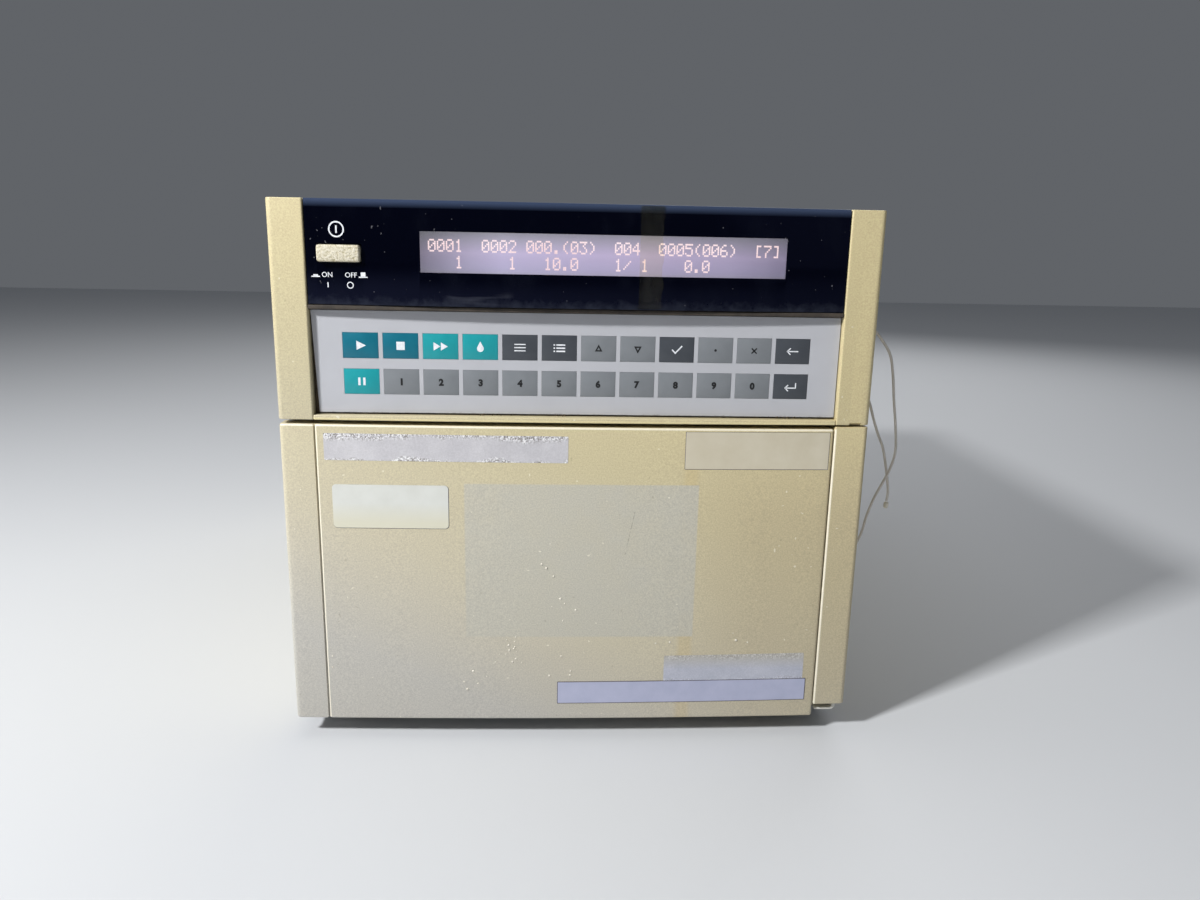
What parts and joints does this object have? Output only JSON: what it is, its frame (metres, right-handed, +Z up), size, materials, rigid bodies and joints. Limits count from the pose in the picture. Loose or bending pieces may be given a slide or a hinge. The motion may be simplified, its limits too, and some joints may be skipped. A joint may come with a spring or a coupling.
{
  "type": "autosampler",
  "caption": "Benchtop autosampler case with a display window, keypad, hinged door, needle arm over vial racks and free tubes at the right side.",
  "frame": {"origin": "under the middle of the case, on the surface that the feet stand on", "axes": "+Z up, -Y towards the front with the door and keypad, +X to the right seen from the front"},
  "size_m": [0.3685, 0.5, 0.32],
  "materials": {
    "arm_plastic": "black engineering plastic",
    "button_cream": "worn cream moulding",
    "case_paint": "satin cream paint",
    "circuit_board": "green circuit board",
    "display": "backlit character display",
    "fan_plastic": "black moulding",
    "foot_rubber": "moulded rubber",
    "frame_steel": "zinc plated sheet",
    "front_moulding": "fine matt cream moulding, yellowed",
    "key_dark_grey": "satin dark grey film",
    "key_grey": "satin grey film",
    "key_light_teal": "satin light teal film",
    "key_teal": "satin teal film",
    "keypad_sheet": "satin pale grey film",
    "liner_plastic": "pale grey moulding",
    "pin_steel": "ground steel",
    "rack_metal": "anodised block with glass vials",
    "rail_steel": "ground steel",
    "rotor_plastic": "dark filled plastic",
    "switch_black": "black moulding",
    "syringe_glass": "clear glass",
    "tray_plastic": "pale grey moulding",
    "tube_plastic": "clear plastic tube",
    "window_black": "polished black acrylic"
  },
  "bodies": {
    "case": {"base_chassis": "frame_steel", "compartment_liner": "liner_plastic", "control_board": "circuit_board", "display_window": "window_black", "door_hinge_pin": "pin_steel", "fan_frame": "fan_plastic", "foot_front_left": "foot_rubber", "foot_front_right": "foot_rubber", "foot_rear_left": "foot_rubber", "foot_rear_right": "foot_rubber", "front_bezel": "front_moulding", "keypad_panel": "keypad_sheet", "lcd_module": "display", "leak_tray": "tray_plastic", "mains_inlet": "switch_black", "outer_cover": "case_paint", "power_supply": "frame_steel", "power_switch": "switch_black", "rear_panel": "case_paint", "right_column_cover": "front_moulding", "syringe_barrel": "syringe_glass", "tube_lower": "tube_plastic", "tube_upper": "tube_plastic", "valve_stator": "pin_steel", "vial_rack_left": "rack_metal", "vial_rack_right": "rack_metal", "x_rail": "rail_steel"},
    "carriage": {"x_carriage": "arm_plastic"},
    "screw": {"x_screw": "pin_steel"},
    "traverse": {"y_traverse": "arm_plastic"},
    "needle": {"needle_slider": "pin_steel"},
    "button": {"power_button": "button_cream"},
    "door": {"door": "front_moulding"},
    "fan": {"fan_rotor": "fan_plastic"},
    "plunger": {"syringe_plunger": "pin_steel"},
    "valve": {"valve_rotor": "rotor_plastic"},
    "key_start": {"key_start": "key_teal"},
    "key_stop": {"key_stop": "key_teal"},
    "key_quick": {"key_quick": "key_light_teal"},
    "key_wash": {"key_wash": "key_light_teal"},
    "key_utility": {"key_utility": "key_dark_grey"},
    "key_program": {"key_program": "key_dark_grey"},
    "key_up": {"key_up": "key_grey"},
    "key_down": {"key_down": "key_grey"},
    "key_confidence": {"key_confidence": "key_dark_grey"},
    "key_point": {"key_point": "key_grey"},
    "key_clear": {"key_clear": "key_grey"},
    "key_escape": {"key_escape": "key_dark_grey"},
    "key_hold": {"key_hold": "key_light_teal"},
    "key_1": {"key_1": "key_grey"},
    "key_2": {"key_2": "key_grey"},
    "key_3": {"key_3": "key_grey"},
    "key_4": {"key_4": "key_grey"},
    "key_5": {"key_5": "key_grey"},
    "key_6": {"key_6": "key_grey"},
    "key_7": {"key_7": "key_grey"},
    "key_8": {"key_8": "key_grey"},
    "key_9": {"key_9": "key_grey"},
    "key_0": {"key_0": "key_grey"},
    "key_enter": {"key_enter": "key_dark_grey"}
  },
  "joints": [
    {"name": "arm_x", "type": "slide", "parent": "case", "child": "carriage", "axis": [-1, 0, 0], "range_m": [0, 0.23218]},
    {"name": "arm_x_screw", "type": "hinge", "parent": "case", "child": "screw", "pos_m": [0.1022, 0.0233, 0.14607], "axis": [1, 0, 0], "range_deg": [0, 8400]},
    {"name": "arm_y", "type": "slide", "parent": "carriage", "child": "traverse", "axis": [0, 1, 0], "range_m": [0, 0.16832]},
    {"name": "arm_z", "type": "slide", "parent": "traverse", "child": "needle", "axis": [0, 0, -1], "range_m": [0, 0.03997]},
    {"name": "button_power", "type": "slide", "parent": "case", "child": "button", "axis": [0, 1, 0], "range_m": [0, 0.003], "stiffness_N_per_m": 300},
    {"name": "door_swing", "type": "hinge", "parent": "case", "child": "door", "pos_m": [-0.1645, -0.236, 0.104], "axis": [0, 0, -1], "range_deg": [0, 105]},
    {"name": "fan_spin", "type": "hinge", "parent": "case", "child": "fan", "pos_m": [-0.095, 0.2447, 0.262], "axis": [0, 1, 0], "continuous": true},
    {"name": "injector_syringe", "type": "slide", "parent": "case", "child": "plunger", "axis": [0, 0, -1], "range_m": [0, 0.03]},
    {"name": "injector_valve", "type": "hinge", "parent": "case", "child": "valve", "pos_m": [0.1367, -0.2079, 0.047], "axis": [0, 1, 0], "range_deg": [0, 60]},
    {"name": "key_start", "type": "slide", "parent": "case", "child": "key_start", "axis": [0, 1, 0], "range_m": [0, 0.0004], "stiffness_N_per_m": 1500},
    {"name": "key_stop", "type": "slide", "parent": "case", "child": "key_stop", "axis": [0, 1, 0], "range_m": [0, 0.0004], "stiffness_N_per_m": 1500},
    {"name": "key_quick", "type": "slide", "parent": "case", "child": "key_quick", "axis": [0, 1, 0], "range_m": [0, 0.0004], "stiffness_N_per_m": 1500},
    {"name": "key_wash", "type": "slide", "parent": "case", "child": "key_wash", "axis": [0, 1, 0], "range_m": [0, 0.0004], "stiffness_N_per_m": 1500},
    {"name": "key_utility", "type": "slide", "parent": "case", "child": "key_utility", "axis": [0, 1, 0], "range_m": [0, 0.0004], "stiffness_N_per_m": 1500},
    {"name": "key_program", "type": "slide", "parent": "case", "child": "key_program", "axis": [0, 1, 0], "range_m": [0, 0.0004], "stiffness_N_per_m": 1500},
    {"name": "key_up", "type": "slide", "parent": "case", "child": "key_up", "axis": [0, 1, 0], "range_m": [0, 0.0004], "stiffness_N_per_m": 1500},
    {"name": "key_down", "type": "slide", "parent": "case", "child": "key_down", "axis": [0, 1, 0], "range_m": [0, 0.0004], "stiffness_N_per_m": 1500},
    {"name": "key_confidence", "type": "slide", "parent": "case", "child": "key_confidence", "axis": [0, 1, 0], "range_m": [0, 0.0004], "stiffness_N_per_m": 1500},
    {"name": "key_point", "type": "slide", "parent": "case", "child": "key_point", "axis": [0, 1, 0], "range_m": [0, 0.0004], "stiffness_N_per_m": 1500},
    {"name": "key_clear", "type": "slide", "parent": "case", "child": "key_clear", "axis": [0, 1, 0], "range_m": [0, 0.0004], "stiffness_N_per_m": 1500},
    {"name": "key_escape", "type": "slide", "parent": "case", "child": "key_escape", "axis": [0, 1, 0], "range_m": [0, 0.0004], "stiffness_N_per_m": 1500},
    {"name": "key_hold", "type": "slide", "parent": "case", "child": "key_hold", "axis": [0, 1, 0], "range_m": [0, 0.0004], "stiffness_N_per_m": 1500},
    {"name": "key_1", "type": "slide", "parent": "case", "child": "key_1", "axis": [0, 1, 0], "range_m": [0, 0.0004], "stiffness_N_per_m": 1500},
    {"name": "key_2", "type": "slide", "parent": "case", "child": "key_2", "axis": [0, 1, 0], "range_m": [0, 0.0004], "stiffness_N_per_m": 1500},
    {"name": "key_3", "type": "slide", "parent": "case", "child": "key_3", "axis": [0, 1, 0], "range_m": [0, 0.0004], "stiffness_N_per_m": 1500},
    {"name": "key_4", "type": "slide", "parent": "case", "child": "key_4", "axis": [0, 1, 0], "range_m": [0, 0.0004], "stiffness_N_per_m": 1500},
    {"name": "key_5", "type": "slide", "parent": "case", "child": "key_5", "axis": [0, 1, 0], "range_m": [0, 0.0004], "stiffness_N_per_m": 1500},
    {"name": "key_6", "type": "slide", "parent": "case", "child": "key_6", "axis": [0, 1, 0], "range_m": [0, 0.0004], "stiffness_N_per_m": 1500},
    {"name": "key_7", "type": "slide", "parent": "case", "child": "key_7", "axis": [0, 1, 0], "range_m": [0, 0.0004], "stiffness_N_per_m": 1500},
    {"name": "key_8", "type": "slide", "parent": "case", "child": "key_8", "axis": [0, 1, 0], "range_m": [0, 0.0004], "stiffness_N_per_m": 1500},
    {"name": "key_9", "type": "slide", "parent": "case", "child": "key_9", "axis": [0, 1, 0], "range_m": [0, 0.0004], "stiffness_N_per_m": 1500},
    {"name": "key_0", "type": "slide", "parent": "case", "child": "key_0", "axis": [0, 1, 0], "range_m": [0, 0.0004], "stiffness_N_per_m": 1500},
    {"name": "key_enter", "type": "slide", "parent": "case", "child": "key_enter", "axis": [0, 1, 0], "range_m": [0, 0.0004], "stiffness_N_per_m": 1500}
  ],
  "couplings": [
    {"joint": "arm_x_screw", "follows": "arm_x", "rad_per_m": 628.32}
  ]
}
